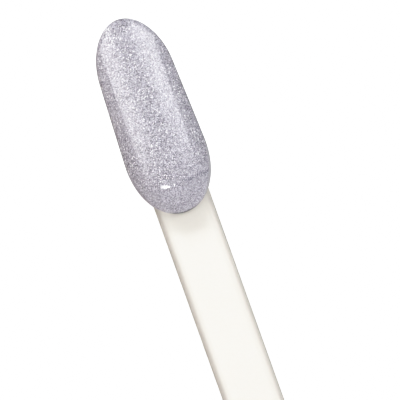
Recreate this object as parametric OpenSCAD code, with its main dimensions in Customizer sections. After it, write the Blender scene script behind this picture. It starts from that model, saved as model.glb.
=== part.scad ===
// Nail colour display stick: an arched display nail, coated with gel polish,
// bonded to a flat moulded handle with a hanging hole.
//
// Frame: the stick lies on its back. +Z is up, out of the nail's face. +Y runs
// along the handle to the nail's free edge. The origin is under the middle of
// the whole stick, on the surface that it lies on. Millimetres.

/* [Handle] */
// Length of the whole stick, from the hole end to the coated free edge
overall_len = 120; // [100:1:150]
// Width of the handle
handle_w = 9; // [8:0.1:9.6]
// Thickness of the handle, whose long edges are half round
handle_t = 2; // [1.6:0.1:2.1]
// Diameter of the hanging hole
hole_d = 4; // [2:0.1:5]
// Depth of the chamfer at each mouth of the hanging hole
hole_chamfer = 0.2; // [0.1:0.05:0.4]

/* [Bond] */
// How far the handle's tongue reaches under the nail, from the cuticle end
tongue_reach = 17.5; // [16:0.5:20]
// Distance from the cuticle end to the near end of the saddle
saddle_from = 6; // [6:0.1:7]
// Length of the saddle that carries the nail
saddle_len = 8.4; // [6:0.1:8.4]
// Width of the saddle
saddle_w = 7; // [5:0.1:7.2]
// Thickness of the glue line at the crown
glue_t = 0.22; // [0.2:0.01:0.3]

/* [Nail tip] */
// Length of the bare nail, without its coats
nail_len = 30.4; // [28:0.1:34]
// Half width that the sides aim at, at the cuticle end
root_half_w = 6.51; // [6.2:0.01:6.8]
// Half width that the sides aim at, at the free edge
free_half_w = 5.17; // [4.6:0.01:5.8]
// Length of the oval cuticle end
cuticle_round = 9.4; // [8:0.1:10]
// Length of the oval free edge
free_round = 7.9; // [6:0.1:10]
// Radius of the arch across the nail
arch_r = 8; // [7.8:0.1:9]
// Height of the bare nail's crown above the surface it lies on
crown_z = 5.15; // [5.1:0.05:5.6]
// How much lower the crown line ends at the cuticle
cuticle_drop = 1.95; // [1.8:0.05:2.05]
// How much lower the crown line ends at the free edge
free_drop = 1.3; // [0.6:0.1:1.6]
// Wall thickness of the nail
nail_t = 0.8; // [0.7:0.05:0.9]
// Height of the nail's rim
rim_h = 1; // [0.95:0.05:1.05]
// Radius of the rounded upper edge of the rim
rim_r = 0.35; // [0.2:0.05:0.45]

/* [Gel coats] */
// Thickness of the base coat
base_t = 0.07; // [0.05:0.01:0.1]
// Thickness of the first colour coat
colour1_t = 0.09; // [0.06:0.01:0.12]
// Thickness of the second colour coat
colour2_t = 0.1; // [0.06:0.01:0.14]
// Thickness of the clear top coat
top_t = 0.15; // [0.1:0.01:0.2]

/* [Mesh] */
// Points round each half of the oval ends of the nail's shells
oval_steps = 11; // [8:1:14]
// Points along each straight side of the nail's shells
side_steps = 9; // [6:1:12]

/* [Hidden] */
$fn = 96;

coats_t = base_t + colour1_t + colour2_t + top_t;
half_len = overall_len / 2;
// Y of the bare nail's cuticle end
nail_y = half_len - coats_t - nail_len;
// Point inside the nail that its rings close on
mid = [0, nail_len * 0.5];
// Where the crown line stops being level and starts to fall to the free edge
level_to = 9.6;
// Steepness of the crown line's fall at the cuticle end
dome_power = 3.4;
// Shares of the way from the middle of the nail to its rim, one for each ring
ring_shares = [0.14, 0.3, 0.46, 0.6, 0.72, 0.82, 0.9, 0.96];
edge_angles = [30, 60, 90];
// A small step for slopes
h = 0.01;

// ---------------------------------------------------------------- the nail's shape

// Crown line: height of the bare nail along its middle, y from the cuticle end
function crown(y) = crown_z
    - (y < cuticle_round ? cuticle_drop * pow(1 - max(y, 0) / cuticle_round, dome_power)
        + (y < 0 ? -y * cuticle_drop * dome_power / cuticle_round : 0) : 0)
    - (y > level_to ? free_drop * pow((y - level_to) / (nail_len - level_to), 2) : 0);

// Upper face of the bare nail over any point
function face(x, y) = crown(y) - arch_r + sqrt(arch_r * arch_r - x * x);

// Half width that the tapering sides aim at
function aim(y) = root_half_w + (free_half_w - root_half_w) * y / nail_len;

// Right half of the outline, from the free edge to the cuticle end, d outside the bare nail
function right_half(d) = concat(
    [for (i = [0 : oval_steps]) let (a = 90 * i / oval_steps,
        y = nail_len - free_round + (free_round + d) * cos(a))
        [(aim(y) + d) * sin(a), y]],
    [for (i = [1 : side_steps - 1]) let (
        y = nail_len - free_round
            + (cuticle_round - nail_len + free_round) * i / side_steps)
        [aim(y) + d, y]],
    [for (i = [0 : oval_steps]) let (a = 90 + 90 * i / oval_steps,
        y = cuticle_round + (cuticle_round + d) * cos(a))
        [(aim(y) + d) * sin(a), y]]);

// Whole outline, clockwise from the free edge
function outline(d) = let (r = right_half(d), n = len(r))
    concat(r, [for (i = [n - 2 : -1 : 1]) [-r[i][0], r[i][1]]]);

function lerp2(a, b, t) = a + (b - a) * t;
function lift(p) = [p[0], p[1], face(p[0], p[1])];

// Outer skin of the bare nail, as rings from the middle out to the rim's foot
function skin_rings() = let (inner = outline(-rim_r), bare = outline(0)) concat(
    [for (s = ring_shares) [for (p = inner) lift(lerp2(mid, p, s))]],
    [[for (p = inner) lift(p)]],
    [for (a = edge_angles) let (o = outline(-rim_r * (1 - sin(a))))
        [for (p = o) lift(p) - [0, 0, rim_r * (1 - cos(a))]]],
    [[for (p = bare) lift(p) - [0, 0, rim_h]]]);

function unit(v) = v / norm(v);
function flat_unit(v) = unit([v[0], v[1], 0]);

// Direction square to the upper face at p
function up_at(p) = unit([
    (face(p[0] - h, p[1]) - face(p[0] + h, p[1])) / (2 * h),
    (face(p[0], p[1] - h) - face(p[0], p[1] + h)) / (2 * h), 1]);

// Direction square to the outline at point i of ring o, in plan
function side_at(o, i) = let (n = len(o),
    t = o[(i + 1) % n] - o[(i + n - 1) % n]) flat_unit([-t[1], t[0], 0]);

// Turns from the face's own direction to the level one round the rim
function turn(up, side, a) = unit(up * cos(a) + side * sin(a));

// The skin moved out by d: the surface that each coat ends on
function coat_rings(d) = let (s = skin_rings(), bare = outline(0), k = len(ring_shares))
    [for (j = [0 : len(s) - 1]) [for (i = [0 : len(bare) - 1]) let (
        up = up_at(s[j][i]), side = side_at(bare, i),
        dir = j <= k ? up
            : j <= k + len(edge_angles) ? turn(up, side, edge_angles[j - k - 1])
            : side)
        s[j][i] + dir * d]];

// Hollow underside of the bare nail, as rings from the middle out to the rim's foot
function hollow_rings() = let (o = outline(-nail_t), bare = outline(0)) concat(
    [for (s = concat(ring_shares, [1])) [for (p = o) let (q = lerp2(mid, p, s), f = lift(q))
        f - [0, 0, nail_t / up_at(f)[2]]]],
    [[for (i = [0 : len(o) - 1]) [o[i][0], o[i][1], lift(bare[i])[2] - rim_h]]]);

// ---------------------------------------------------------------- solids from rings

// Four-sided faces between ring a and ring b round it, b further out if they face up
function ring_faces(a, b, n, flip) = [for (i = [0 : n - 1]) let (k = (i + 1) % n)
    flip ? [a * n + i, a * n + k, b * n + k, b * n + i]
         : [a * n + i, b * n + i, b * n + k, a * n + k]];
// Each four-sided face as two triangles, on the same diagonal whichever way it faces
function cut(fs) = [for (f = fs) each [[f[0], f[1], f[2]], [f[0], f[2], f[3]]]];
function flatten(l) = [for (a = l) for (b = a) b];

// A closed shell between an upper and a lower stack of rings, each from the middle out
module shell(upper, lower, top_mid, low_mid) {
    n = len(upper[0]);
    nu = len(upper);
    m = nu + len(lower);
    pts = concat(flatten(upper), flatten(lower), [top_mid, low_mid]);
    faces = concat(
        cut(flatten([for (j = [0 : nu - 2]) ring_faces(j, j + 1, n, false)])),
        cut(flatten([for (j = [nu : m - 2]) ring_faces(j, j + 1, n, true)])),
        cut(ring_faces(nu - 1, m - 1, n, false)),
        [for (i = [0 : n - 1]) [m * n, i, (i + 1) % n]],
        [for (i = [0 : n - 1]) [m * n + 1, nu * n + (i + 1) % n, nu * n + i]]);
    polyhedron(points = pts, faces = faces, convexity = 6);
}

function skin_mid(d) = let (p = lift(mid)) p + up_at(p) * d;
function hollow_mid() = let (p = lift(mid)) p - [0, 0, nail_t / up_at(p)[2]];

module coat(from, thick) {
    translate([0, nail_y, 0])
        shell(coat_rings(from + thick), coat_rings(from), skin_mid(from + thick), skin_mid(from));
}

// ---------------------------------------------------------------- pieces

// Half of the bar's cross-section: flat faces and a half-round edge
module half_section() {
    r = handle_t / 2;
    square([handle_w / 2 - r, handle_t]);
    translate([handle_w / 2 - r, r]) intersection() {
        circle(r);
        translate([0, -r]) square([r, 2 * r]);
    }
}

// Round end of the bar, in the half plane +Y
module bar_end() {
    rotate_extrude(angle = 180) half_section();
}

// Straight bar from y0 to y1
module bar(y0, y1) {
    translate([0, y1, 0]) rotate([90, 0, 0]) linear_extrude(height = y1 - y0) {
        half_section();
        mirror([1, 0, 0]) half_section();
    }
}

// Crowned block under the nail, on the same centre as the nail's arch
module saddle() {
    r = arch_r - nail_t - glue_t;
    translate([0, nail_y + saddle_from, 0]) intersection() {
        translate([-saddle_w / 2, 0, handle_t / 2])
            cube([saddle_w, saddle_len, crown_z]);
        translate([0, -1, crown_z - arch_r]) rotate([-90, 0, 0])
            cylinder(r = r, h = saddle_len + 2);
    }
}

module handle() {
    y0 = -half_len + handle_w / 2;
    y1 = nail_y + tongue_reach - handle_w / 2;
    color([0.96, 0.95, 0.92]) difference() {
        union() {
            bar(y0, y1);
            translate([0, y1, 0]) bar_end();
            translate([0, y0, 0]) rotate([0, 0, 180]) bar_end();
            saddle();
        }
        translate([0, y0, -1]) cylinder(d = hole_d, h = handle_t + 2);
        for (k = [0, 1]) translate([0, y0, k * handle_t]) mirror([0, 0, k])
            translate([0, 0, -1]) cylinder(h = 1 + hole_chamfer,
                r1 = hole_d / 2 + hole_chamfer + 1, r2 = hole_d / 2);
    }
}

module nail_tip() {
    color([0.93, 0.92, 0.9]) translate([0, nail_y, 0])
        shell(coat_rings(0), hollow_rings(), skin_mid(0), hollow_mid());
}

// Glue line: fills the space between the saddle's crown and the nail's underside
module tip_glue() {
    nx = 8;
    ny = 6;
    gap = 0.04;
    inset = 0.15;
    rs = arch_r - nail_t - glue_t;
    w = saddle_w / 2 - inset;
    y0 = saddle_from + inset;
    y1 = saddle_from + saddle_len - inset;
    xs = [for (i = [0 : nx]) -w + 2 * w * i / nx];
    ys = [for (j = [0 : ny]) y0 + (y1 - y0) * j / ny];
    function top(x, y) = let (f = [x, y, face(x, y)]) f[2] - nail_t / up_at(f)[2] - gap;
    function low(x) = crown_z - arch_r + sqrt(rs * rs - x * x) + gap / 2;
    n = (nx + 1) * (ny + 1);
    pts = concat([for (y = ys) for (x = xs) [x, y, top(x, y)]],
                 [for (y = ys) for (x = xs) [x, y, low(x)]]);
    function id(i, j) = j * (nx + 1) + i;
    faces = concat(
        cut([for (j = [0 : ny - 1]) for (i = [0 : nx - 1])
            [id(i, j), id(i, j + 1), id(i + 1, j + 1), id(i + 1, j)]]),
        cut([for (j = [0 : ny - 1]) for (i = [0 : nx - 1])
            [n + id(i, j), n + id(i + 1, j), n + id(i + 1, j + 1), n + id(i, j + 1)]]),
        cut([for (i = [0 : nx - 1]) [id(i, 0), id(i + 1, 0), n + id(i + 1, 0), n + id(i, 0)]]),
        cut([for (i = [0 : nx - 1]) [id(i, ny), n + id(i, ny), n + id(i + 1, ny), id(i + 1, ny)]]),
        cut([for (j = [0 : ny - 1]) [id(0, j), n + id(0, j), n + id(0, j + 1), id(0, j + 1)]]),
        cut([for (j = [0 : ny - 1]) [id(nx, j), id(nx, j + 1), n + id(nx, j + 1), n + id(nx, j)]]));
    color([0.95, 0.93, 0.85]) translate([0, nail_y, 0])
        polyhedron(points = pts, faces = faces, convexity = 4);
}

module base_coat() { color([0.97, 0.95, 0.93]) coat(0, base_t); }
module first_colour_coat() { color([0.72, 0.71, 0.75]) coat(base_t, colour1_t); }
module second_colour_coat() { color([0.78, 0.77, 0.81]) coat(base_t + colour1_t, colour2_t); }
module top_coat() { color([0.85, 0.85, 0.9]) coat(base_t + colour1_t + colour2_t, top_t); }

handle();
nail_tip();
tip_glue();
base_coat();
first_colour_coat();
second_colour_coat();
top_coat();
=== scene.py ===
import math

import bpy
import numpy as np
from mathutils import Matrix, Vector


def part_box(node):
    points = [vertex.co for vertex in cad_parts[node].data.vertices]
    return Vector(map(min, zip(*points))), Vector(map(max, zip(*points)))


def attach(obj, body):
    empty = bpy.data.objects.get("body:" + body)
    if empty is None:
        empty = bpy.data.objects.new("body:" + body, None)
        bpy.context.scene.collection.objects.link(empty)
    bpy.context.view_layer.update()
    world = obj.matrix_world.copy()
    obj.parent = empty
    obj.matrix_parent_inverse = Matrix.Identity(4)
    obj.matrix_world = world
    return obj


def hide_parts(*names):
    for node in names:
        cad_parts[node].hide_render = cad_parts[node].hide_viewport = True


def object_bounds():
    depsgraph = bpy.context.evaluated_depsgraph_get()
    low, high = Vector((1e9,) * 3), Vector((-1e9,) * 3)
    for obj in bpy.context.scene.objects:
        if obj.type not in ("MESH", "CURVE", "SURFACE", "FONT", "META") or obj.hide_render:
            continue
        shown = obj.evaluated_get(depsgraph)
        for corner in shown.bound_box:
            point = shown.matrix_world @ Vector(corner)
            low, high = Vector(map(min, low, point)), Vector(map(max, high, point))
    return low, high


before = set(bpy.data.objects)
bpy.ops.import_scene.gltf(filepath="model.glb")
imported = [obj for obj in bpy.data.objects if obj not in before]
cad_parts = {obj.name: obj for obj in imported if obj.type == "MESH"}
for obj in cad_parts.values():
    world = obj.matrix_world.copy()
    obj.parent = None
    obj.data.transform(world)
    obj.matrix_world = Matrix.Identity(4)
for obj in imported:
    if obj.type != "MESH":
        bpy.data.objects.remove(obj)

scene = bpy.context.scene
cad_lo, cad_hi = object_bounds()
MM = 0.001

# ------------------------------------------------------------ the design's own numbers, mm

tip_lo, tip_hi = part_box("nail_tip")
top_lo, top_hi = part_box("top_coat")
col_lo, col_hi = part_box("second_colour_coat")
first_lo, first_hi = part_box("first_colour_coat")
base_lo, base_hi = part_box("base_coat")
bar_lo, bar_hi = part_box("handle")

NAIL_Y = tip_lo.y / MM
NAIL_LEN = (tip_hi.y - tip_lo.y) / MM
CROWN_Z = tip_hi.z / MM
BASE_D = (base_hi.z - tip_hi.z) / MM
FIRST_D = (first_hi.z - tip_hi.z) / MM
SECOND_D = (col_hi.z - tip_hi.z) / MM
TOP_D = (top_hi.z - tip_hi.z) / MM
ROOT_HALF_W, FREE_HALF_W = 6.51, 5.17
CUTICLE_ROUND, FREE_ROUND = 9.4, 7.9
ARCH_R, CUTICLE_DROP, FREE_DROP = 8.0, 1.95, 1.3
NAIL_T, RIM_H, RIM_R = 0.8, 1.0, 0.35
DOME_POWER, LEVEL_TO = 3.4, 9.6
MID_Y = NAIL_LEN * 0.5
HANDLE_W, HANDLE_T = 9.0, 2.0
HOLE_R, HOLE_CHAMFER = 2.0, 0.2
SADDLE_FROM, SADDLE_LEN, SADDLE_W, GLUE_T = 6.0, 8.4, 7.0, 0.22


def crown(y):
    """Height of the bare nail's crown line, y from the cuticle end."""
    z = np.full_like(y, CROWN_Z)
    t = np.clip(1 - np.clip(y, 0, None) / CUTICLE_ROUND, 0, None)
    z = z - CUTICLE_DROP * t**DOME_POWER
    z = z - np.where(y < 0, -y * CUTICLE_DROP * DOME_POWER / CUTICLE_ROUND, 0)
    f = np.clip((y - LEVEL_TO) / (NAIL_LEN - LEVEL_TO), 0, None)
    return z - FREE_DROP * f * f


def face(x, y):
    return crown(y) - ARCH_R + np.sqrt(ARCH_R**2 - x * x)


def aim(y):
    return ROOT_HALF_W + (FREE_HALF_W - ROOT_HALF_W) * y / NAIL_LEN


def outline(d, n_oval, n_side):
    """The nail's outline in plan, clockwise from the free edge, d outside the bare nail."""
    a = np.linspace(0, math.pi / 2, n_oval + 1)
    y1 = NAIL_LEN - FREE_ROUND + (FREE_ROUND + d) * np.cos(a)
    x1 = (aim(y1) + d) * np.sin(a)
    t = np.arange(1, n_side) / n_side
    y2 = NAIL_LEN - FREE_ROUND + (CUTICLE_ROUND - NAIL_LEN + FREE_ROUND) * t
    x2 = aim(y2) + d
    y3 = CUTICLE_ROUND + (CUTICLE_ROUND + d) * np.cos(a + math.pi / 2)
    x3 = (aim(y3) + d) * np.sin(a + math.pi / 2)
    x, y = np.concatenate([x1, x2, x3]), np.concatenate([y1, y2, y3])
    x[0] = x[-1] = 0
    x = np.concatenate([x, -x[-2:0:-1]])
    y = np.concatenate([y, y[-2:0:-1]])
    return np.stack([x, y], 1)


def up_at(x, y):
    h = 0.002
    nx = (face(x - h, y) - face(x + h, y)) / (2 * h)
    ny = (face(x, y - h) - face(x, y + h)) / (2 * h)
    n = np.stack([nx, ny, np.ones_like(nx)], -1)
    return n / np.linalg.norm(n, axis=-1, keepdims=True)


def side_of(o):
    t = np.roll(o, -1, 0) - np.roll(o, 1, 0)
    n = np.stack([-t[:, 1], t[:, 0], np.zeros(len(o))], 1)
    return n / np.linalg.norm(n, axis=1, keepdims=True)


def skin(d, n_oval, n_side, n_face, n_edge, n_wall):
    """Rings of the nail's skin moved out by d, from the middle to the foot of the rim."""
    bare = outline(0, n_oval, n_side)
    side = side_of(bare)
    mid = np.array([0.0, MID_Y])
    rings = []
    inner = outline(-RIM_R, n_oval, n_side)
    for s in np.linspace(0, 1, n_face + 1)[1:]:
        # rings close up towards the rim, where the surface turns fastest
        s = s * (1.35 - 0.35 * s)
        p = mid + (inner - mid) * s
        up = up_at(p[:, 0], p[:, 1])
        rings.append(np.column_stack([p, face(p[:, 0], p[:, 1])]) + up * d)
    for a in np.linspace(0, math.pi / 2, n_edge + 1)[1:]:
        o = outline(-RIM_R * (1 - math.sin(a)), n_oval, n_side)
        up = up_at(o[:, 0], o[:, 1])
        turned = up * math.cos(a) + side * math.sin(a)
        turned /= np.linalg.norm(turned, axis=1, keepdims=True)
        z = face(o[:, 0], o[:, 1]) - RIM_R * (1 - math.cos(a))
        rings.append(np.column_stack([o, z]) + turned * d)
    top_z = face(bare[:, 0], bare[:, 1])
    for t in np.linspace(0, 1, n_wall + 1)[1:]:
        z = top_z - RIM_R - (RIM_H - RIM_R) * t
        rings.append(np.column_stack([bare, z]) + side * d)
    return rings


def hollow(n_oval, n_side, n_face, n_wall):
    """Rings of the nail's hollow underside, from the middle to the foot of the rim."""
    bare = outline(0, n_oval, n_side)
    o = outline(-NAIL_T, n_oval, n_side)
    mid = np.array([0.0, MID_Y])
    rings = []
    for s in np.linspace(0, 1, n_face + 1)[1:]:
        p = mid + (o - mid) * s
        up = up_at(p[:, 0], p[:, 1])
        rings.append(np.column_stack([p, face(p[:, 0], p[:, 1]) - NAIL_T / up[:, 2]]))
    z1 = face(bare[:, 0], bare[:, 1]) - RIM_H
    z0 = rings[-1][:, 2]
    for t in np.linspace(0, 1, n_wall + 1)[1:]:
        rings.append(np.column_stack([o, z0 + (z1 - z0) * t]))
    return rings


def new_piece(name, verts, faces, smooth=True):
    """A mesh piece from points in mm, in the row frame."""
    mesh = bpy.data.meshes.new(name)
    mesh.from_pydata((np.asarray(verts) * MM).tolist(), [], [list(map(int, f)) for f in faces])
    mesh.validate()
    mesh.update()
    if smooth:
        mesh.shade_smooth()
    piece = bpy.data.objects.new(name, mesh)
    scene.collection.objects.link(piece)
    return piece


def shell(name, upper, lower):
    """A closed shell between two stacks of rings, each from the middle out."""
    n, nu, nl = len(upper[0]), len(upper), len(lower)
    um, lm = upper[0].mean(0), lower[0].mean(0)
    um = np.array([0, MID_Y, um[2]])
    lm = np.array([0, MID_Y, lm[2]])
    pts = np.concatenate([*upper, *lower, [um, lm]])
    pts[:, 0] *= FIT_X
    pts[:, 1] += NAIL_Y
    m = nu + nl
    faces = []
    for i in range(n):
        k = (i + 1) % n
        for j in range(nu - 1):
            a, b = j * n, (j + 1) * n
            faces.append([a + i, a + k, b + k, b + i])
        for j in range(nu, m - 1):
            a, b = j * n, (j + 1) * n
            faces.append([a + i, b + i, b + k, a + k])
        a, b = (nu - 1) * n, (m - 1) * n
        faces.append([a + i, a + k, b + k, b + i])
        faces.append([m * n, k, i])
        faces.append([m * n + 1, nu * n + i, nu * n + k])
    return new_piece(name, pts, faces)


def sharpen(piece, degrees=35):
    piece.data.set_sharp_from_angle(angle=math.radians(degrees))


# ------------------------------------------------------------ nail and its gel coats

OVAL, SIDE = 44, 34
# the curved outline lies a hair outside the design's own widest line, so it is drawn in to it
FIT_X = top_hi.x / MM / skin(TOP_D, OVAL, SIDE, 1, 1, 1)[-1][:, 0].max()
n_ring = 4 * OVAL + 2 * SIDE

gel = shell(
    "glitter_gel_coats",
    skin(TOP_D, OVAL, SIDE, 44, 8, 4),
    skin(FIRST_D, OVAL, SIDE, 16, 5, 2),
)
first = shell(
    "first_glitter_coat",
    skin(FIRST_D, OVAL, SIDE, 16, 5, 2),
    skin(BASE_D, OVAL, SIDE, 16, 5, 2),
)
base = shell(
    "base_gel_coat",
    skin(BASE_D, OVAL, SIDE, 16, 5, 2),
    skin(0, OVAL, SIDE, 16, 5, 2),
)
tip = shell(
    "display_nail",
    skin(0, OVAL, SIDE, 16, 5, 2),
    hollow(OVAL, SIDE, 24, 4),
)
for o in (gel, first, base, tip):
    sharpen(o, 50)


def mark_foot(piece, rings):
    """Gives each point its distance in mm over the skin from the foot of the rim, for what happens near the edge."""
    stack = np.stack(rings[::-1])  # from the foot inwards
    step = np.linalg.norm(np.diff(stack, axis=0), axis=2)
    far = np.concatenate([np.zeros((1, stack.shape[1])), np.cumsum(step, axis=0)])[::-1]
    values = np.full(len(piece.data.vertices), 0.0)
    values[: far.size] = far.reshape(-1)
    values[-2] = far.max()
    piece.data.attributes.new("foot", "FLOAT", "POINT").data.foreach_set("value", values.astype(np.float32))


mark_foot(gel, skin(TOP_D, OVAL, SIDE, 44, 8, 4))
mark_foot(first, skin(FIRST_D, OVAL, SIDE, 16, 5, 2))

# ------------------------------------------------------------ handle


def build_handle():
    """The bar with its half-round edges, round ends and hanging hole, as one closed mesh of quads."""
    r = HANDLE_T / 2
    w = HANDLE_W / 2 - r
    y0 = bar_lo.y / MM + HANDLE_W / 2
    y1 = bar_hi.y / MM - HANDLE_W / 2
    step = 0.5
    cols = int(round(2 * w / step))
    xs = np.linspace(-w, w, cols + 1)
    arc_n = 56
    ya = y0 + w
    near_n = 7

    def span(a, b, pitch):
        n = max(1, int(round((b - a) / pitch)))
        return list(np.linspace(a, b, n + 1))

    side_ys = span(y0, ya, w / near_n)[:-1] + span(ya, y1, 0.8)
    i_a = near_n
    # inner outline, anticlockwise from (w, y0): up the right side, round the tongue, down the left, round the hole end
    line, norm = [], []
    for y in side_ys:
        line.append((w, y)), norm.append((1, 0))
    for i in range(1, arc_n):
        a = math.pi * i / arc_n
        line.append((w * math.cos(a), y1 + w * math.sin(a))), norm.append((math.cos(a), math.sin(a)))
    n_left = len(line)
    for y in reversed(side_ys):
        line.append((-w, y)), norm.append((-1, 0))
    n_end = len(line)
    for i in range(1, arc_n):
        a = math.pi + math.pi * i / arc_n
        line.append((w * math.cos(a), y0 + w * math.sin(a))), norm.append((math.cos(a), math.sin(a)))
    n = len(line)
    nside = len(side_ys)

    pts, faces, index = [], [], {}

    def put(x, y, z):
        key = (round(x, 5), round(y, 5), round(z, 5))
        if key not in index:
            index[key] = len(pts)
            pts.append((x, y, z))
        return index[key]

    # half-round edge, from the top face's border to the bottom face's border
    turns = 22
    edge = [
        [
            put(p[0] + q[0] * r * math.sin(math.pi * t / turns), p[1] + q[1] * r * math.sin(math.pi * t / turns), r + r * math.cos(math.pi * t / turns))
            for p, q in zip(line, norm)
        ]
        for t in range(turns + 1)
    ]
    for t in range(turns):
        for i in range(n):
            k = (i + 1) % n
            faces.append([edge[t][i], edge[t + 1][i], edge[t + 1][k], edge[t][k]])

    for z, up in ((HANDLE_T, True), (0.0, False)):

        def add(f, up=up):
            f = [v for j, v in enumerate(f) if v != f[j - 1]]
            if len(f) > 2:
                faces.append(f if up else f[::-1])

        # round the hole: its own ring, out to the half circle and the square end of the strip
        border = [(w, y) for y in side_ys[: i_a + 1]]
        border += [(x, ya) for x in xs[::-1][1:-1]]
        border += [(-w, y) for y in reversed(side_ys[: i_a + 1])]
        border += line[n_end:]
        mouth = HOLE_R + HOLE_CHAMFER
        rows = 6
        grid = []
        for j in range(rows + 1):
            ring = []
            for bx, by in border:
                dist = math.hypot(bx, by - y0)
                ux, uy = bx / dist, (by - y0) / dist
                d = mouth + (dist - mouth) * j / rows
                ring.append(put(bx, by, z) if j == rows else put(ux * d, y0 + uy * d, z))
            grid.append(ring)
        for j in range(rows):
            for i in range(len(border)):
                k = (i + 1) % len(border)
                add([grid[j][i], grid[j + 1][i], grid[j + 1][k], grid[j][k]])
        if up:
            # chamfers and wall of the hole
            levels = [(mouth, HANDLE_T), (HOLE_R, HANDLE_T - HOLE_CHAMFER), (HOLE_R, HANDLE_T * 0.5), (HOLE_R, HOLE_CHAMFER), (mouth, 0.0)]
            wall = []
            for rad, zz in levels:
                ring = []
                for bx, by in border:
                    dist = math.hypot(bx, by - y0)
                    ring.append(put(bx / dist * rad, y0 + (by - y0) / dist * rad, zz))
                wall.append(ring)
            for j in range(len(levels) - 1):
                for i in range(len(border)):
                    k = (i + 1) % len(border)
                    faces.append([wall[j][i], wall[j][k], wall[j + 1][k], wall[j + 1][i]])
        # the long strip
        for j in range(i_a, nside - 1):
            for i in range(cols):
                add([put(xs[i], side_ys[j], z), put(xs[i + 1], side_ys[j], z), put(xs[i + 1], side_ys[j + 1], z), put(xs[i], side_ys[j + 1], z)])
        # the tongue's round end
        rings = cols // 2
        for j in range(rings):
            ra, rb = w * j / rings, w * (j + 1) / rings
            for i in range(arc_n):
                a, b = math.pi * i / arc_n, math.pi * (i + 1) / arc_n
                f = []
                for rad, ang in ((ra, a), (rb, a), (rb, b), (ra, b)):
                    x, y = rad * math.cos(ang), y1 + rad * math.sin(ang)
                    if abs(ang) < 1e-9 or abs(ang - math.pi) < 1e-9:
                        x, y = math.copysign(rad, math.cos(ang)), y1
                    if rad == 0:
                        x, y = 0.0, y1
                    f.append(put(x, y, z))
                add(f)

    return new_piece("handle_bar", pts, faces)


def build_saddle():
    """The crowned block on the bar's top face, which the nail is glued to. Its foot lies inside the bar."""
    half = SADDLE_W / 2 - 0.03
    rs = ARCH_R - NAIL_T - GLUE_T
    xs = np.linspace(-half, half, 15)
    ys = np.linspace(NAIL_Y + SADDLE_FROM, NAIL_Y + SADDLE_FROM + SADDLE_LEN, 15)
    top = CROWN_Z - ARCH_R + np.sqrt(rs * rs - xs * xs)
    rise = 4
    pts, faces, index = [], [], {}

    def put(i, j, q):
        if (i, j, q) not in index:
            index[i, j, q] = len(pts)
            foot = HANDLE_T - 0.6
            pts.append((xs[i], ys[j], foot + (top[i] - foot) * q / rise))
        return index[i, j, q]

    nx, ny = len(xs) - 1, len(ys) - 1
    for i in range(nx):
        for j in range(ny):
            faces.append([put(i, j, rise), put(i + 1, j, rise), put(i + 1, j + 1, rise), put(i, j + 1, rise)])
            faces.append([put(i, j, 0), put(i, j + 1, 0), put(i + 1, j + 1, 0), put(i + 1, j, 0)])
    for q in range(rise):
        for i in range(nx):
            faces.append([put(i, 0, q), put(i + 1, 0, q), put(i + 1, 0, q + 1), put(i, 0, q + 1)])
            faces.append([put(i, ny, q), put(i, ny, q + 1), put(i + 1, ny, q + 1), put(i + 1, ny, q)])
        for j in range(ny):
            faces.append([put(0, j, q), put(0, j, q + 1), put(0, j + 1, q + 1), put(0, j + 1, q)])
            faces.append([put(nx, j, q), put(nx, j + 1, q), put(nx, j + 1, q + 1), put(nx, j, q + 1)])
    return new_piece("saddle_block", pts, faces)


def weld(piece, other):
    """Joins other's volume to the piece's, as one closed mesh with nothing inside."""
    union = piece.modifiers.new("union", "BOOLEAN")
    union.operation = "UNION"
    union.solver = "EXACT"
    union.object = other
    bpy.context.view_layer.update()
    mesh = bpy.data.meshes.new_from_object(piece.evaluated_get(bpy.context.evaluated_depsgraph_get()))
    piece.modifiers.clear()
    old = piece.data
    piece.data = mesh
    bpy.data.meshes.remove(old)
    mesh.name = piece.name
    gone = other.data
    bpy.data.objects.remove(other)
    bpy.data.meshes.remove(gone)
    mesh.shade_smooth()


handle = build_handle()
weld(handle, build_saddle())
sharpen(handle, 30)


def mark_painted_edge_shade(piece):
    """Gives each point its share of painted shade on the half-round edges, a little way round them, greyer on the left
    side than on the right.
    """
    mesh = piece.data
    co = np.array([v.co for v in mesh.vertices]) / MM
    r = HANDLE_T / 2
    inner = HANDLE_W / 2 - r
    y0, y1 = bar_lo.y / MM + HANDLE_W / 2, bar_hi.y / MM - HANDLE_W / 2
    dy = co[:, 1] - np.clip(co[:, 1], y0, y1)
    out = np.hypot(co[:, 0], dy) - inner
    out[co[:, 2] > HANDLE_T + 1e-4] = 0
    way = [-0.05, 0.0, 0.17, 0.32, 0.48, 0.63, 0.78, 1.0]
    left = np.interp(out / r, way, [0.0, 0.2, 0.43, 0.62, 0.73, 0.7, 0.63, 0.6])
    right = np.interp(out / r, way, [0.0, 0.14, 0.21, 0.35, 0.51, 0.58, 0.54, 0.5])
    w = np.where(co[:, 0] < 0, left, right)
    mesh.attributes.new("edge", "FLOAT", "POINT").data.foreach_set("value", w.astype(np.float32))


mark_painted_edge_shade(handle)

# ------------------------------------------------------------ glue line


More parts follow.
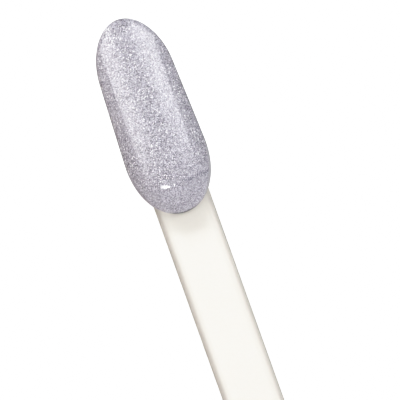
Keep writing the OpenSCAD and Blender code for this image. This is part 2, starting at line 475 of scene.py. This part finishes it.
def build_glue():
    inset, gap = 0.15, 0.04
    rs = ARCH_R - NAIL_T - GLUE_T
    w = SADDLE_W / 2 - inset
    xs = np.linspace(-w, w, 29)
    ys = np.linspace(SADDLE_FROM + inset, SADDLE_FROM + SADDLE_LEN - inset, 33)
    gx, gy = np.meshgrid(xs, ys)
    up = up_at(gx.ravel(), gy.ravel())
    zt = face(gx.ravel(), gy.ravel()) - NAIL_T / up[:, 2] - gap
    zl = CROWN_Z - ARCH_R + np.sqrt(rs * rs - gx.ravel() ** 2) + gap / 2
    top = np.column_stack([gx.ravel(), gy.ravel() + NAIL_Y, zt])
    low = np.column_stack([gx.ravel(), gy.ravel() + NAIL_Y, zl])
    nx, ny = len(xs), len(ys)
    n = nx * ny
    pts = np.concatenate([top, low])
    faces = []
    idx = lambda i, j: j * nx + i
    for j in range(ny - 1):
        for i in range(nx - 1):
            faces.append([idx(i, j), idx(i + 1, j), idx(i + 1, j + 1), idx(i, j + 1)])
            faces.append([n + idx(i, j), n + idx(i, j + 1), n + idx(i + 1, j + 1), n + idx(i + 1, j)])
    for i in range(nx - 1):
        faces.append([idx(i, 0), n + idx(i, 0), n + idx(i + 1, 0), idx(i + 1, 0)])
        faces.append([idx(i, ny - 1), idx(i + 1, ny - 1), n + idx(i + 1, ny - 1), n + idx(i, ny - 1)])
    for j in range(ny - 1):
        faces.append([idx(0, j), idx(0, j + 1), n + idx(0, j + 1), n + idx(0, j)])
        faces.append([idx(nx - 1, j), n + idx(nx - 1, j), n + idx(nx - 1, j + 1), idx(nx - 1, j + 1)])
    return new_piece("glue_pad", pts, faces)


glue = build_glue()
sharpen(glue, 40)

# ------------------------------------------------------------ materials


class Nodes:
    """A short way to write a node tree."""

    def __init__(self, name):
        self.mat = bpy.data.materials.new(name)
        self.mat.use_nodes = True
        self.nt = self.mat.node_tree
        self.nt.nodes.clear()
        self.out = self.nt.nodes.new("ShaderNodeOutputMaterial")
        self.bsdf = self.nt.nodes.new("ShaderNodeBsdfPrincipled")
        self.link(self.bsdf.outputs[0], self.out.inputs["Surface"])
        self.coords = self.nt.nodes.new("ShaderNodeTexCoord").outputs["Object"]

    def link(self, a, b):
        self.nt.links.new(a, b)

    def set(self, **values):
        for key, value in values.items():
            self.bsdf.inputs[key.replace("_", " ")].default_value = value

    def feed(self, socket, value):
        if isinstance(value, (int, float)):
            socket.default_value = value
        elif isinstance(value, (tuple, list)):
            socket.default_value = tuple(value) + (1.0,) if len(value) == 3 and len(socket.default_value) == 4 else value
        else:
            self.link(value, socket)

    def math(self, op, a, b=0.0, clamp=False):
        n = self.nt.nodes.new("ShaderNodeMath")
        n.operation, n.use_clamp = op, clamp
        self.feed(n.inputs[0], a)
        self.feed(n.inputs[1], b)
        return n.outputs[0]

    def vec(self, op, a, b=(0, 0, 0), scale=None):
        n = self.nt.nodes.new("ShaderNodeVectorMath")
        n.operation = op
        self.feed(n.inputs[0], a)
        if op != "NORMALIZE" and scale is None:
            self.feed(n.inputs[1], b)
        if scale is not None:
            self.feed(n.inputs["Scale"], scale)
        return n.outputs[0]

    def moved(self, offset_mm):
        """The coordinates moved by offset_mm, so that two patterns don't line up."""
        n = self.nt.nodes.new("ShaderNodeMapping")
        n.inputs["Location"].default_value = tuple(o * MM for o in offset_mm)
        self.link(self.coords, n.inputs["Vector"])
        return n.outputs[0]

    def voronoi(self, size_mm, feature="F1", where=None, randomness=1.0):
        n = self.nt.nodes.new("ShaderNodeTexVoronoi")
        n.feature = feature
        n.inputs["Scale"].default_value = 1000.0 / size_mm
        n.inputs["Randomness"].default_value = randomness
        self.link(where or self.coords, n.inputs["Vector"])
        return n

    def noise(self, size_mm, detail=2.0, rough=0.5, where=None, distortion=0.0):
        n = self.nt.nodes.new("ShaderNodeTexNoise")
        n.inputs["Scale"].default_value = 1000.0 / size_mm
        n.inputs["Detail"].default_value = detail
        n.inputs["Roughness"].default_value = rough
        n.inputs["Distortion"].default_value = distortion
        self.link(where or self.coords, n.inputs["Vector"])
        return n

    def range(self, value, a, b, c, d, kind="LINEAR"):
        n = self.nt.nodes.new("ShaderNodeMapRange")
        n.interpolation_type = kind
        for name, v in (("From Min", a), ("From Max", b), ("To Min", c), ("To Max", d)):
            n.inputs[name].default_value = v
        self.link(value, n.inputs["Value"])
        return n.outputs[0]

    def ramp(self, value, stops, kind="LINEAR"):
        n = self.nt.nodes.new("ShaderNodeValToRGB")
        n.color_ramp.interpolation = kind
        el = n.color_ramp.elements
        while len(el) > 1:
            el.remove(el[-1])
        el[0].position, el[0].color = stops[0][0], (*stops[0][1], 1)
        for pos, col in stops[1:]:
            el.new(pos).color = (*col, 1)
        self.link(value, n.inputs["Fac"])
        return n.outputs["Color"]

    def mix(self, fac, a, b, blend="MIX"):
        n = self.nt.nodes.new("ShaderNodeMix")
        n.data_type, n.blend_type = "RGBA", blend
        self.feed(n.inputs["Factor"], fac)
        for socket, v in ((n.inputs[6], a), (n.inputs[7], b)):
            self.feed(socket, v)
        return n.outputs[2]

    def split(self, colour):
        n = self.nt.nodes.new("ShaderNodeSeparateColor")
        self.link(colour, n.inputs[0])
        return n.outputs

    def bump(self, height, strength, distance_mm, normal=None):
        n = self.nt.nodes.new("ShaderNodeBump")
        n.inputs["Strength"].default_value = strength
        n.inputs["Distance"].default_value = distance_mm * MM
        self.link(height, n.inputs["Height"])
        if normal is not None:
            self.link(normal, n.inputs["Normal"])
        return n.outputs[0]


def glitter_material(name, flake_mm=0.095, tilt=0.3, dull=1.0, coat=1.0):
    """Silver flakes of a few sizes set in clear gel: each flake has its own tone, tilt and roughness.
    The flakes stop short of the rim, where the clear gel is bare. Painted light and shade are laid over them by place:
    lighter, calmer tones by the cuticle, on the sides by the cuticle and towards the free end, darker on the steep
    sides and down the middle of the free end, painted glints, a painted dark reflection along a ridge, and a painted
    dark line along the edge over the handle."""
    m = Nodes(name)
    small = m.voronoi(flake_mm)
    big = m.voronoi(flake_mm * 1.7)
    spark = m.voronoi(flake_mm * 1.55, where=m.moved((3.1, 5.7, 1.3)))
    rs = m.split(small.outputs["Color"])
    rb = m.split(big.outputs["Color"])
    rk = m.split(spark.outputs["Color"])
    cloud = m.noise(1.8, 3.0, 0.6).outputs["Fac"]
    sep = m.nt.nodes.new("ShaderNodeSeparateXYZ")
    m.link(m.coords, sep.inputs[0])
    x, y = sep.outputs["X"], sep.outputs["Y"]
    at = m.nt.nodes.new("ShaderNodeAttribute")
    at.attribute_name = "foot"
    foot = at.outputs["Fac"]
    cuticle_y = NAIL_Y * MM
    # tone of each flake: most are mid grey, some are dark gaps
    tone = m.math("ADD", m.math("MULTIPLY", rs[0], 0.8), m.math("MULTIPLY", rb[0], 0.2))
    tone = m.math("ADD", tone, m.range(cloud, 0.3, 0.7, -0.06, 0.06))
    end_y = cuticle_y + NAIL_LEN * MM
    # painted shade: the flakes are darker down the middle of the free end, and darker still at its brim
    middle = m.math("MULTIPLY", m.range(m.math("ABSOLUTE", m.math("SUBTRACT", x, 0.3 * MM)), 0.5 * MM, 1.7 * MM, 1.0, 0.0), m.range(y, end_y - 5.0 * MM, end_y - 1.8 * MM, 0.0, 1.0))
    tone = m.math("SUBTRACT", tone, m.math("MULTIPLY", middle, 0.04))
    painted_shade_brim = m.math("MULTIPLY", m.range(m.math("ABSOLUTE", m.math("SUBTRACT", x, 0.3 * MM)), 0.5 * MM, 1.2 * MM, 1.0, 0.0), m.range(y, end_y - 1.7 * MM, end_y - 0.7 * MM, 0.0, 0.15))
    tone = m.math("SUBTRACT", tone, painted_shade_brim)
    # painted shade on the steep sides: the flakes there are a little darker
    tone = m.math("SUBTRACT", tone, m.range(m.math("ABSOLUTE", x), 4.5 * MM, 5.3 * MM, 0.0, 0.03))
    # painted light: the flakes are lighter at the right of the free end, and so is the clear rim there
    painted_light_far_right = m.math("MULTIPLY", m.range(x, 0.8 * MM, 2.0 * MM, 0.0, 1.0), m.range(y, end_y - 4.5 * MM, end_y - 2.5 * MM, 0.0, 1.0))
    tone = m.math("ADD", tone, m.math("MULTIPLY", painted_light_far_right, 0.035))
    # painted light: the flakes are a little lighter towards the free end
    tone = m.math("ADD", tone, m.range(y, end_y - 6.0 * MM, end_y - 4.0 * MM, 0.0, 0.02))
    # painted light: the flakes are a little lighter on the sides by the cuticle
    painted_light_low_sides = m.math("MULTIPLY", m.range(m.math("ABSOLUTE", x), 2.0 * MM, 3.5 * MM, 0.0, 0.02), m.range(y, cuticle_y + 3.0 * MM, cuticle_y + 6.0 * MM, 1.0, 0.0))
    tone = m.math("ADD", tone, painted_light_low_sides)
    # by the cuticle the tones draw together, calmer, towards a light mid grey: painted light that lifts the cuticle
    # dome
    bow = m.math("SUBTRACT", y, m.math("MULTIPLY", m.math("MULTIPLY", x, x), 70.0))
    calm_and_painted_light = m.range(bow, cuticle_y + 2.8 * MM, cuticle_y + 5.2 * MM, 0.36, 0.0, "SMOOTHSTEP")
    # painted reflection: along two bands down the nail, where the side lamps are mirrored, the tones are drawn
    # together a little, as the reflections' veil would soften them
    left_reflection_band = m.math("MULTIPLY", m.range(x, -4.7 * MM, -4.2 * MM, 0.0, 1.0), m.range(x, -2.9 * MM, -2.2 * MM, 1.0, 0.0))
    right_reflection_band = m.math("MULTIPLY", m.range(x, 1.2 * MM, 2.2 * MM, 0.0, 1.0), m.range(x, 4.2 * MM, 4.7 * MM, 1.0, 0.0))
    reflection_band = m.math("ADD", left_reflection_band, right_reflection_band, clamp=True)
    calm_and_painted_light = m.math("MAXIMUM", calm_and_painted_light, m.math("MULTIPLY", reflection_band, 0.2))
    # painted light: the tones are also drawn together towards the same light mid grey on the steep sides, beyond the
    # cuticle and near the free end
    gentle_and_painted_light = m.math("MAXIMUM", m.range(m.math("ABSOLUTE", x), 3.9 * MM, 4.6 * MM, 0.0, 0.12), m.range(y, cuticle_y + 6.0 * MM, cuticle_y + 11.0 * MM, 0.14, 0.0))
    gentle_and_painted_light = m.math("MAXIMUM", gentle_and_painted_light, m.range(y, end_y - 5.0 * MM, end_y - 3.0 * MM, 0.0, 0.12))
    gentle_and_painted_light = m.math("MAXIMUM", calm_and_painted_light, gentle_and_painted_light)
    tone = m.math("ADD", m.math("MULTIPLY", tone, m.math("SUBTRACT", 1.0, gentle_and_painted_light)), m.math("MULTIPLY", gentle_and_painted_light, 0.605))
    d = dull
    colour = m.ramp(
        tone,
        [
            (0.00, (0.09 * d, 0.075 * d, 0.09 * d)),
            (0.28, (0.255 * d, 0.238 * d, 0.272 * d)),
            (0.50, (0.478 * d, 0.454 * d, 0.509 * d)),
            (0.75, (0.78 * d, 0.755 * d, 0.825 * d)),
            (1.00, (1.0 * d, 0.975 * d, 1.02 * d)),
        ],
    )
    # a little colour in each flake, from pink to blue grey
    colour = m.mix(0.5, colour, m.ramp(rs[1], [(0.0, (0.54, 0.47, 0.52)), (0.5, (0.5, 0.5, 0.52)), (1.0, (0.46, 0.49, 0.58))]), "SOFT_LIGHT")
    # painted glints: a few flakes are coloured near white, more of them at one corner of the free end
    corner = m.math("MULTIPLY", m.range(x, -3.7 * MM, -3.1 * MM, 0.0, 1.0), m.range(x, -1.5 * MM, -0.9 * MM, 1.0, 0.0))
    corner = m.math("MULTIPLY", corner, m.range(y, end_y - 2.7 * MM, end_y - 1.9 * MM, 0.0, 1.0))
    painted_glints = m.range(m.math("ADD", rk[0], m.math("MULTIPLY", corner, 0.13)), 0.915, 0.93, 0.0, 1.0)
    painted_glints = m.math("MULTIPLY", painted_glints, m.math("SUBTRACT", 0.85, m.math("MULTIPLY", calm_and_painted_light, 1.6)))
    colour = m.mix(painted_glints, colour, (1.0, 0.995, 1.0, 1))
    # a fine ridge across the gel, bumped into the coat, with a painted dark reflection along it: a line of dark flakes
    # where the ridge would mirror the dark surroundings
    bend = m.noise(1.5, 3.0, 0.6).outputs["Fac"]
    slant = m.math("ADD", m.range(bend, 0.3, 0.7, cuticle_y + 3.95 * MM, cuticle_y + 4.3 * MM), m.math("MULTIPLY", x, 0.06))
    off_ridge = m.math("SUBTRACT", y, slant)
    ridge_and_painted_reflection = m.range(m.math("ABSOLUTE", off_ridge), 0.12 * MM, 0.40 * MM, 1.0, 0.0, "SMOOTHSTEP")
    ridge_and_painted_reflection = m.math("MULTIPLY", ridge_and_painted_reflection, m.range(x, 1.0 * MM, 1.9 * MM, 0.0, 1.0, "SMOOTHSTEP"))
    ridge_and_painted_reflection = m.math("MULTIPLY", ridge_and_painted_reflection, m.range(x, 3.9 * MM, 5.0 * MM, 1.0, 0.6, "SMOOTHSTEP"))
    ridge_and_painted_reflection = m.math("MULTIPLY", ridge_and_painted_reflection, m.range(foot, 1.3, 1.7, 0.0, 1.0))
    colour = m.mix(m.math("MULTIPLY", ridge_and_painted_reflection, m.range(rs[0], 0.2, 0.85, 0.92, 0.2)), colour, (0.15, 0.14, 0.18, 1))
    # the clear gel at the rim, wider on one side, with no flakes in it
    wide = m.math("MULTIPLY", m.range(x, 2.6 * MM, 4.6 * MM, 0.0, 1.0, "SMOOTHSTEP"), m.range(y, cuticle_y + 7.5 * MM, cuticle_y + 10.5 * MM, 1.0, 0.0, "SMOOTHSTEP"))
    wobble = m.range(m.noise(0.9, 2.0, 0.5).outputs["Fac"], 0.3, 0.7, -0.07, 0.07)
    inset = m.math("SUBTRACT", foot, m.math("ADD", m.math("MULTIPLY", wide, 0.5), wobble))
    bare = m.range(m.math("ADD", inset, m.math("MULTIPLY", corner, 0.3)), 0.94, 1.1, 1.0, 0.0, "SMOOTHSTEP")
    # painted light: the clear rim is coloured lighter by the cuticle and at the free end's right, and much lighter on
    # the left by the cuticle
    painted_light_left_low = m.math("MULTIPLY", m.range(x, -2.5 * MM, -1.0 * MM, 1.0, 0.0), m.range(y, cuticle_y + 7.0 * MM, cuticle_y + 12.0 * MM, 1.0, 0.0))
    low = m.math("MAXIMUM", m.range(y, cuticle_y + 3.0 * MM, cuticle_y + 6.0 * MM, 1.0, 0.0), painted_light_far_right)
    clear = m.mix(low, (0.25, 0.235, 0.25, 1), (0.47, 0.455, 0.49, 1))
    clear = m.mix(wide, m.mix(painted_light_left_low, clear, (0.84, 0.79, 0.82, 1)), (0.47, 0.46, 0.49, 1))
    # and painted shade: a thin dark line along the nail's edge over the handle, where it overhangs the handle
    line = m.math("MULTIPLY", m.range(foot, 1.12, 1.42, 1.0, 0.0, "SMOOTHSTEP"), m.range(x, -2.6 * MM, -1.7 * MM, 0.0, 1.0))
    line = m.math("MULTIPLY", line, m.math("MULTIPLY", m.range(x, 0.8 * MM, 2.4 * MM, 1.0, 0.0), m.range(y, cuticle_y + 4.0 * MM, cuticle_y + 6.0 * MM, 1.0, 0.0)))
    colour = m.mix(m.math("MULTIPLY", line, 0.92), m.mix(bare, colour, clear), (0.06, 0.055, 0.065, 1))
    m.link(colour, m.bsdf.inputs["Base Color"])
    shown = m.math("SUBTRACT", 1.0, bare)
    m.link(m.math("MULTIPLY", m.range(rb[1], 0, 1, 0.0, 0.08), shown), m.bsdf.inputs["Metallic"])
    m.link(m.range(rs[2], 0, 1, 0.55, 0.8), m.bsdf.inputs["Roughness"])
    # each flake lies at its own small tilt
    n = m.nt.nodes.new("ShaderNodeNewGeometry").outputs["Normal"]
    off = m.vec("SUBTRACT", small.outputs["Color"], (0.5, 0.5, 0.5))
    off = m.vec("SCALE", off, scale=m.math("MULTIPLY", shown, tilt))
    m.link(m.vec("NORMALIZE", m.vec("ADD", n, off)), m.bsdf.inputs["Normal"])
    m.link(m.bump(ridge_and_painted_reflection, 0.3, 0.03), m.bsdf.inputs["Coat Normal"])
    m.set(Coat_Weight=coat, Coat_Roughness=0.03, Coat_IOR=1.56, Specular_IOR_Level=0.1)
    return m.mat


def milky_plastic(name, tint, low, rough, grain, edge=None):
    """Milky moulded plastic: faint clouding inside, fine satin grain, and, when edge colours are given, painted shade
    on the half-round edges.
    """
    m = Nodes(name)
    cloud = m.noise(7.0, 4.0, 0.55).outputs["Fac"]
    speck = m.noise(0.5, 2.0, 0.5).outputs["Fac"]
    fac = m.math("ADD", m.math("MULTIPLY", cloud, 0.5), m.math("MULTIPLY", speck, 0.5))
    colour = m.ramp(fac, [(0.3, low), (0.7, tint)])
    # painted shade: the half-round edges turn greyer by the mesh's edge share, darker on the left side
    if edge:
        at = m.nt.nodes.new("ShaderNodeAttribute")
        at.attribute_name = "edge"
        sep = m.nt.nodes.new("ShaderNodeSeparateXYZ")
        m.link(m.coords, sep.inputs[0])
        side = m.range(sep.outputs["X"], -1.0 * MM, 1.0 * MM, 0.0, 1.0)
        colour = m.mix(at.outputs["Fac"], colour, m.mix(side, edge[0], edge[1]))
    m.link(colour, m.bsdf.inputs["Base Color"])
    stretch = m.nt.nodes.new("ShaderNodeMapping")
    stretch.inputs["Scale"].default_value = (1.0, 0.06, 1.0)
    m.link(m.coords, stretch.inputs["Vector"])
    rub = m.noise(0.12, 2.0, 0.6, where=stretch.outputs[0]).outputs["Fac"]
    m.link(m.range(m.math("ADD", m.math("MULTIPLY", speck, 0.5), m.math("MULTIPLY", rub, 0.5)), 0.3, 0.7, rough - 0.07, rough + 0.07), m.bsdf.inputs["Roughness"])
    fine = m.noise(0.09, 3.0, 0.6).outputs["Fac"]
    wave = m.noise(9.0, 1.0, 0.5).outputs["Fac"]
    n = m.bump(fine, grain, 0.006)
    n = m.bump(wave, 0.35, 0.05, n)
    m.link(n, m.bsdf.inputs["Normal"])
    m.set(IOR=1.49, Subsurface_Weight=0.2, Subsurface_Scale=0.0008)
    m.bsdf.inputs["Subsurface Radius"].default_value = (1.0, 0.95, 0.85)
    return m.mat


mat_glitter = glitter_material("glitter_gel", dull=0.81)
mat_first = glitter_material("first_glitter_gel", flake_mm=0.2, dull=0.7, coat=0.4)
mat_base = milky_plastic("base_gel", (0.90, 0.88, 0.86), (0.86, 0.84, 0.82), 0.25, 0.3)
mat_tip = milky_plastic("nail_plastic", (0.88, 0.87, 0.83), (0.83, 0.81, 0.77), 0.33, 0.4)
mat_glue = milky_plastic("glue", (0.86, 0.83, 0.70), (0.80, 0.76, 0.62), 0.3, 0.3)
# the handle's half-round edges get painted shade, a little darker on the left than on the right
mat_handle = milky_plastic("handle_plastic", (0.866, 0.834, 0.768), (0.838, 0.806, 0.738), 0.42, 0.6, edge=((0.50, 0.467, 0.424, 1), (0.512, 0.468, 0.428, 1)))

for piece, mat, nodes, slot in (
    (gel, mat_glitter, ("second_colour_coat", "top_coat"), "glitter_gel"),
    (first, mat_first, ("first_colour_coat",), "first_glitter_gel"),
    (base, mat_base, ("base_coat",), "base_gel"),
    (tip, mat_tip, ("nail_tip",), "nail_plastic"),
    (glue, mat_glue, ("tip_glue",), "glue"),
    (handle, mat_handle, ("handle",), "handle_plastic"),
):
    piece.data.materials.append(mat)
    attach(piece, "root")
    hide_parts(*nodes)

# ------------------------------------------------------------ floor and backdrop


def stage_mesh(name, verts, faces, emission, smooth=False):
    mesh = bpy.data.meshes.new(name)
    mesh.from_pydata(verts, [], faces)
    if smooth:
        mesh.shade_smooth()
    o = bpy.data.objects.new(name, mesh)
    scene.collection.objects.link(o)
    m = Nodes(name)
    m.set(Base_Color=(0.5, 0.5, 0.5, 1), Roughness=0.9, Emission_Color=(1, 1, 1, 1), Emission_Strength=emission)
    mesh.materials.append(m.mat)
    return o


floor_z = cad_lo.z - 0.00002
floor = stage_mesh("floor", [(-3, -3, floor_z), (3, -3, floor_z), (3, 3, floor_z), (-3, 3, floor_z)], [(0, 1, 2, 3)], 1.05)
# a wall far round the floor, so that a low view sees the same pale studio
turns, levels = 72, [(2.6, floor_z + 0.001), (2.9, 0.1), (3.1, 0.5), (3.2, 1.5), (3.2, 4.0)]
ring = [(r * math.cos(2 * math.pi * i / turns), r * math.sin(2 * math.pi * i / turns), z) for r, z in levels for i in range(turns)]
quads = [
    (j * turns + i, j * turns + (i + 1) % turns, (j + 1) * turns + (i + 1) % turns, (j + 1) * turns + i)
    for j in range(len(levels) - 1)
    for i in range(turns)
]
backdrop = stage_mesh("backdrop", ring, quads, 1.25, smooth=True)
# the object is lit by the lamps and the sky alone: the white round it throws no light back
floor.visible_diffuse = backdrop.visible_diffuse = False
floor.visible_glossy = backdrop.visible_glossy = False
floor.visible_shadow = backdrop.visible_shadow = False

# ------------------------------------------------------------ light

LEVEL = 0.856  # strength of all the lamps and the sky together
nail_mid = Vector((0, (top_lo.y + top_hi.y) / 2, 0.003))


def softbox(name, towards, distance, size_x, size_y, radiance, across=None, fade_x=None, fade_y=None, colour=(1, 1, 1), shape="RECTANGLE"):
    """A flat soft light, seen from the nail in direction towards, with its own X along across.
    fade_x and fade_y are (position, share) stops along its two sides."""
    light = bpy.data.lights.new(name, "AREA")
    light.shape = shape
    light.size, light.size_y = size_x, size_y
    # power that gives this radiance at the light's face
    light.energy = LEVEL * radiance * math.pi * size_x * size_y
    light.color = colour
    o = bpy.data.objects.new(name, light)
    z = Vector(towards).normalized()  # a light shines along its own -Z
    o.location = nail_mid + z * distance
    x = Vector(across if across else (1, 0, 0))
    x = (x - z * x.dot(z)).normalized()
    y = z.cross(x)
    o.rotation_mode = "QUATERNION"
    o.rotation_quaternion = Matrix((x, y, z)).transposed().to_quaternion()
    o.visible_camera = False
    scene.collection.objects.link(o)
    if fade_x or fade_y:
        light.use_nodes = True
        nt = light.node_tree
        em = next(n for n in nt.nodes if n.type == "EMISSION")
        uv = nt.nodes.new("ShaderNodeSeparateXYZ")
        nt.links.new(nt.nodes.new("ShaderNodeNewGeometry").outputs["Parametric"], uv.inputs[0])
        last = None
        for stops, socket in ((fade_x, uv.outputs["X"]), (fade_y, uv.outputs["Y"])):
            if not stops:
                continue
            ramp = nt.nodes.new("ShaderNodeValToRGB")
            el = ramp.color_ramp.elements
            while len(el) > 1:
                el.remove(el[-1])
            el[0].position, el[0].color = stops[0][0], (stops[0][1],) * 3 + (1,)
            for pos, share in stops[1:]:
                el.new(pos).color = (share,) * 3 + (1,)
            nt.links.new(socket, ramp.inputs["Fac"])
            if last is None:
                last = ramp.outputs["Color"]
            else:
                mul = nt.nodes.new("ShaderNodeMath")
                mul.operation = "MULTIPLY"
                nt.links.new(last, mul.inputs[0])
                nt.links.new(ramp.outputs["Color"], mul.inputs[1])
                last = mul.outputs[0]
        nt.links.new(last, em.inputs["Strength"])
    return o


def direction(across, along):
    """Direction at these angles across the nail and along it, in degrees from straight up."""
    a, b = math.radians(across), math.radians(along)
    return (math.tan(a), math.tan(b), 1.0)


# one long softbox on each side, brightest near its outer edge and fading towards the middle and the handle
reach = 0.55
inner, outer = math.radians(11), math.radians(61)
mid, half = (inner + outer) / 2, (outer - inner) / 2
along_left = [(0.0, 0.1), (0.15, 0.33), (0.33, 0.93), (0.5, 1.0), (1.0, 1.04)]
along_right = [(0.0, 0.1), (0.15, 0.34), (0.33, 0.7), (0.5, 0.97), (1.0, 1.04)]
for name, side, radiance, near in (("side_left", -1, 4.95, 0.2), ("side_right", 1, 5.6, 0.33)):
    softbox(
        name,
        (side * math.sin(mid), 0.145, math.cos(mid)),
        reach,
        2 * reach * math.tan(half),
        0.24,
        radiance,
        across=(side, 0, 0),
        fade_x=[(0.0, 0.0), (0.13, near), (0.29, 0.5), (0.46, 0.8), (0.63, 1.0), (0.9, 0.96), (1.0, 0.9)],
        colour=(0.99, 1.0, 1.005),
        # the light's own Y points to the handle on the left side and away from it on the right
        fade_y=along_right if side > 0 else [(1 - pos, share) for pos, share in reversed(along_left)],
    )
# a wide, low lamp beyond the free edge, a little cooler, throws the nail's shadow down the handle
cool = (0.97, 1.0, 1.02)
back = softbox("back", (-0.09, math.cos(math.radians(24.6)), math.sin(math.radians(24.6))), 0.6, 0.5, 0.105, 24.0, colour=cool)
back_high = softbox("back_high", (-0.1, math.cos(math.radians(50)), math.sin(math.radians(50))), 0.6, 0.4, 0.1, 2.2, colour=cool)
# a low fill from the handle's side, a little to the right, lifts the cuticle dome
fill = softbox("fill", (0.48, -0.74, 0.38), 0.7, 0.5, 0.3, 6.0, colour=(0.985, 1.0, 1.02))
# the gel mirrors only the side lamps and the two strips
back.visible_glossy = back_high.visible_glossy = fill.visible_glossy = False
# two small strips give the glint on the cuticle dome
softbox("strip", direction(-25.2, -19.9), 0.5, 0.222, 0.034, 24.0, across=(0.993, -0.12, 0), fade_x=[(0.0, 0.0), (0.3, 0.7), (0.55, 1.0), (0.8, 0.8), (1.0, 0.1)], shape="ELLIPSE")
softbox("strip_end", direction(-4.2, -20.1), 0.5, 0.034, 0.026, 18.0, across=(0.993, -0.12, 0), shape="ELLIPSE")

world = bpy.data.worlds.new("studio")
scene.world = world
world.use_nodes = True
wn = world.node_tree
wn.nodes.clear()
wo = wn.nodes.new("ShaderNodeOutputWorld")
bg = wn.nodes.new("ShaderNodeBackground")
geo = wn.nodes.new("ShaderNodeTexCoord")
sep = wn.nodes.new("ShaderNodeSeparateXYZ")
half_up = wn.nodes.new("ShaderNodeMapRange")
half_up.inputs["From Min"].default_value, half_up.inputs["From Max"].default_value = -1, 1
ramp = wn.nodes.new("ShaderNodeValToRGB")
wn.links.new(geo.outputs["Generated"], sep.inputs[0])
wn.links.new(sep.outputs["Z"], half_up.inputs["Value"])
wn.links.new(half_up.outputs[0], ramp.inputs["Fac"])
wn.links.new(bg.outputs[0], wo.inputs[0])
# warm light comes back from the left, low down
warm = wn.nodes.new("ShaderNodeMapRange")
warm.inputs["From Min"].default_value, warm.inputs["From Max"].default_value = -0.25, -1.0
warm.interpolation_type = "SMOOTHSTEP"
wn.links.new(sep.outputs["X"], warm.inputs["Value"])
add = wn.nodes.new("ShaderNodeMix")
add.data_type, add.blend_type, add.clamp_result = "RGBA", "ADD", False
wn.links.new(warm.outputs[0], add.inputs["Factor"])
wn.links.new(ramp.outputs["Color"], add.inputs[6])
add.inputs[7].default_value = (0.14, 0.05, 0.0, 1)
# and pale light from the side of the handle
pale = wn.nodes.new("ShaderNodeMapRange")
pale.inputs["From Min"].default_value, pale.inputs["From Max"].default_value = -0.15, -0.95
pale.interpolation_type = "SMOOTHSTEP"
wn.links.new(sep.outputs["Y"], pale.inputs["Value"])
more = wn.nodes.new("ShaderNodeMix")
more.data_type, more.blend_type, more.clamp_result = "RGBA", "ADD", False
wn.links.new(pale.outputs[0], more.inputs["Factor"])
wn.links.new(add.outputs[2], more.inputs[6])
more.inputs[7].default_value = (0.46, 0.46, 0.475, 1)
wn.links.new(more.outputs[2], bg.inputs["Color"])
# from straight down, through the level, to straight up
el = ramp.color_ramp.elements
el[0].position, el[0].color = 0.0, (0.34, 0.34, 0.34, 1)
el[1].position, el[1].color = 0.5, (0.06, 0.058, 0.058, 1)
el.new(0.72).color = (0.08, 0.08, 0.08, 1)
el.new(0.93).color = (0.13, 0.13, 0.13, 1)
el.new(1.0).color = (0.2, 0.2, 0.2, 1)
bg.inputs["Strength"].default_value = LEVEL

# ------------------------------------------------------------ camera

cam_data = bpy.data.cameras.new("camera")
cam_data.type = "PERSP"
cam_data.lens = 200
cam_data.sensor_width = 36
cam = bpy.data.objects.new("camera", cam_data)
scene.collection.objects.link(cam)
scene.camera = cam
frame_mm = 400 * 13.0 / 85
plane_z = 3.0
cam.location = (2.62 * MM, top_hi.y - 30.19 * MM, (frame_mm / (36 / 200) + plane_z) * MM)
cam.rotation_euler = (0, 0, -math.radians(19.72))
cam_data.clip_start, cam_data.clip_end = 0.01, 20

scene.view_settings.view_transform = "Standard"
scene.view_settings.look = "None"
scene.view_settings.exposure = 0
scene.view_settings.gamma = 1
# a camera's soft shoulder: straight up to the mid tones, then the highlights close up towards white
scene.view_settings.use_curve_mapping = True
tone_map = scene.view_settings.curve_mapping
tone_map.clip_max_x = 2.0
tone = tone_map.curves[3]
tone.points[0].location = (0.0, 0.0)
tone.points[1].location = (1.5, 1.0)
for bright, shown in ((0.3, 0.3), (0.6, 0.598), (0.8, 0.785), (0.9, 0.865), (1.0, 0.925), (1.15, 0.975), (1.3, 0.994)):
    tone.points.new(bright, shown)
tone_map.update()
